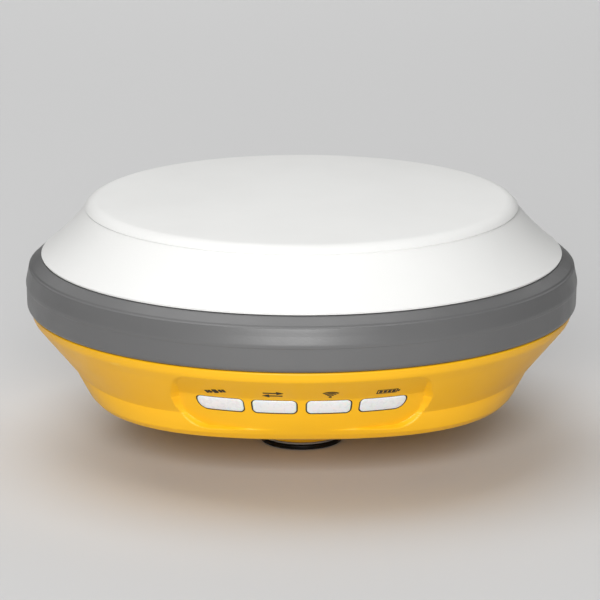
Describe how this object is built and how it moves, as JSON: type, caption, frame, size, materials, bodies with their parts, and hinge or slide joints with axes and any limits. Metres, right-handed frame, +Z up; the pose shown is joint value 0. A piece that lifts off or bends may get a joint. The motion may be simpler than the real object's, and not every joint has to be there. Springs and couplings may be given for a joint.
{
  "type": "gnss receiver",
  "caption": "Domed survey satellite receiver with a white radome, grey bumper band, yellow lower housing, front status panel and a threaded pole mount underneath",
  "frame": {"origin": "centre of the pole mount's lower face, under the middle of the body", "axes": "+Z up along the mount axis; the status panel faces -Y; the connectors face +Y; +X is to the right seen from the front"},
  "size_m": [0.1582, 0.1582, 0.0743],
  "materials": {
    "aluminium": "machined",
    "band_grey": "satin mid grey",
    "battery_grey": "battery wrap",
    "black_aluminium": "black anodised",
    "board_green": "solder mask",
    "brass": "plated brass",
    "cable_black": "coaxial jacket",
    "card_blue": "card plastic",
    "ceramic_copper": "copper radiator",
    "ceramic_tan": "antenna ceramic",
    "housing_yellow": "satin yellow-orange moulded",
    "insulator_white": "PTFE",
    "plastic_black": "moulded black",
    "radome_white": "fine matte moulded white",
    "rubber_black": "matte rubber",
    "steel": "stainless",
    "tin_shield": "tinned shield can",
    "vent_grey": "vent plug",
    "washer_nylon": "natural nylon",
    "window_white": "frosted white light guide"
  },
  "bodies": {
    "receiver": {"antenna_cable": "cable_black", "antenna_center_pin": "brass", "antenna_connector": "brass", "antenna_connector_insulator": "insulator_white", "antenna_connector_nut": "brass", "antenna_ground_plane": "aluminium", "antenna_patch_lower": "ceramic_tan", "antenna_patch_upper": "ceramic_tan", "antenna_radiator": "ceramic_copper", "antenna_standoff_1": "brass", "antenna_standoff_2": "brass", "antenna_standoff_3": "brass", "antenna_standoff_4": "brass", "battery_bay": "plastic_black", "battery_contact_1": "brass", "battery_contact_2": "brass", "battery_contact_3": "brass", "battery_contact_block": "plastic_black", "battery_door_pin": "steel", "battery_pack": "battery_grey", "board_screw_1": "steel", "board_screw_2": "steel", "bumper_band": "band_grey", "chassis": "aluminium", "gnss_module_shield": "tin_shield", "housing_screw_1": "steel", "housing_screw_2": "steel", "housing_screw_3": "steel", "housing_screw_4": "steel", "housing_screw_5": "steel", "housing_screw_6": "steel", "lna_shield": "tin_shield", "lower_housing": "housing_yellow", "main_board": "board_green", "main_seal": "rubber_black", "mount_insert": "black_aluminium", "mount_nut": "steel", "mount_washer": "washer_nylon", "port_cover_pin": "steel", "power_button_bezel": "plastic_black", "power_button_seal": "rubber_black", "power_switch": "plastic_black", "radio_module_shield": "tin_shield", "radome": "radome_white", "service_port": "steel", "sim_card": "card_blue", "sim_holder": "steel", "speaker": "plastic_black", "status_board": "board_green", "status_window_1": "window_white", "status_window_2": "window_white", "status_window_3": "window_white", "status_window_4": "window_white", "vent_plug": "vent_grey"},
    "door": {"battery_door": "housing_yellow", "battery_door_seal": "rubber_black"},
    "latch": {"battery_latch": "plastic_black"},
    "port_flap": {"port_cover": "rubber_black"},
    "button": {"power_button": "rubber_black"},
    "antenna_dust_cap": {"antenna_cap": "rubber_black"}
  },
  "joints": [
    {"name": "battery_door_hinge", "type": "hinge", "parent": "receiver", "child": "door", "pos_m": [0, 0.045, 0.0164], "axis": [1, 0, 0], "range_deg": [0, 100]},
    {"name": "battery_latch_slide", "type": "slide", "parent": "door", "child": "latch", "axis": [0, -1, 0], "range_m": [0, 0.0022]},
    {"name": "port_cover_hinge", "type": "hinge", "parent": "receiver", "child": "port_flap", "pos_m": [-0.03597, 0.05756, 0.0285], "axis": [-0.848, -0.5299, 0], "range_deg": [0, 100]},
    {"name": "power_button_press", "type": "slide", "parent": "receiver", "child": "button", "axis": [-0.4059, -0.6496, 0.6428], "range_m": [0, 0.0008], "stiffness_N_per_m": 400},
    {"name": "antenna_cap_pull", "type": "slide", "parent": "receiver", "child": "antenna_dust_cap", "axis": [0, 0.766, -0.6428], "range_m": [0, 0.012]}
  ]
}
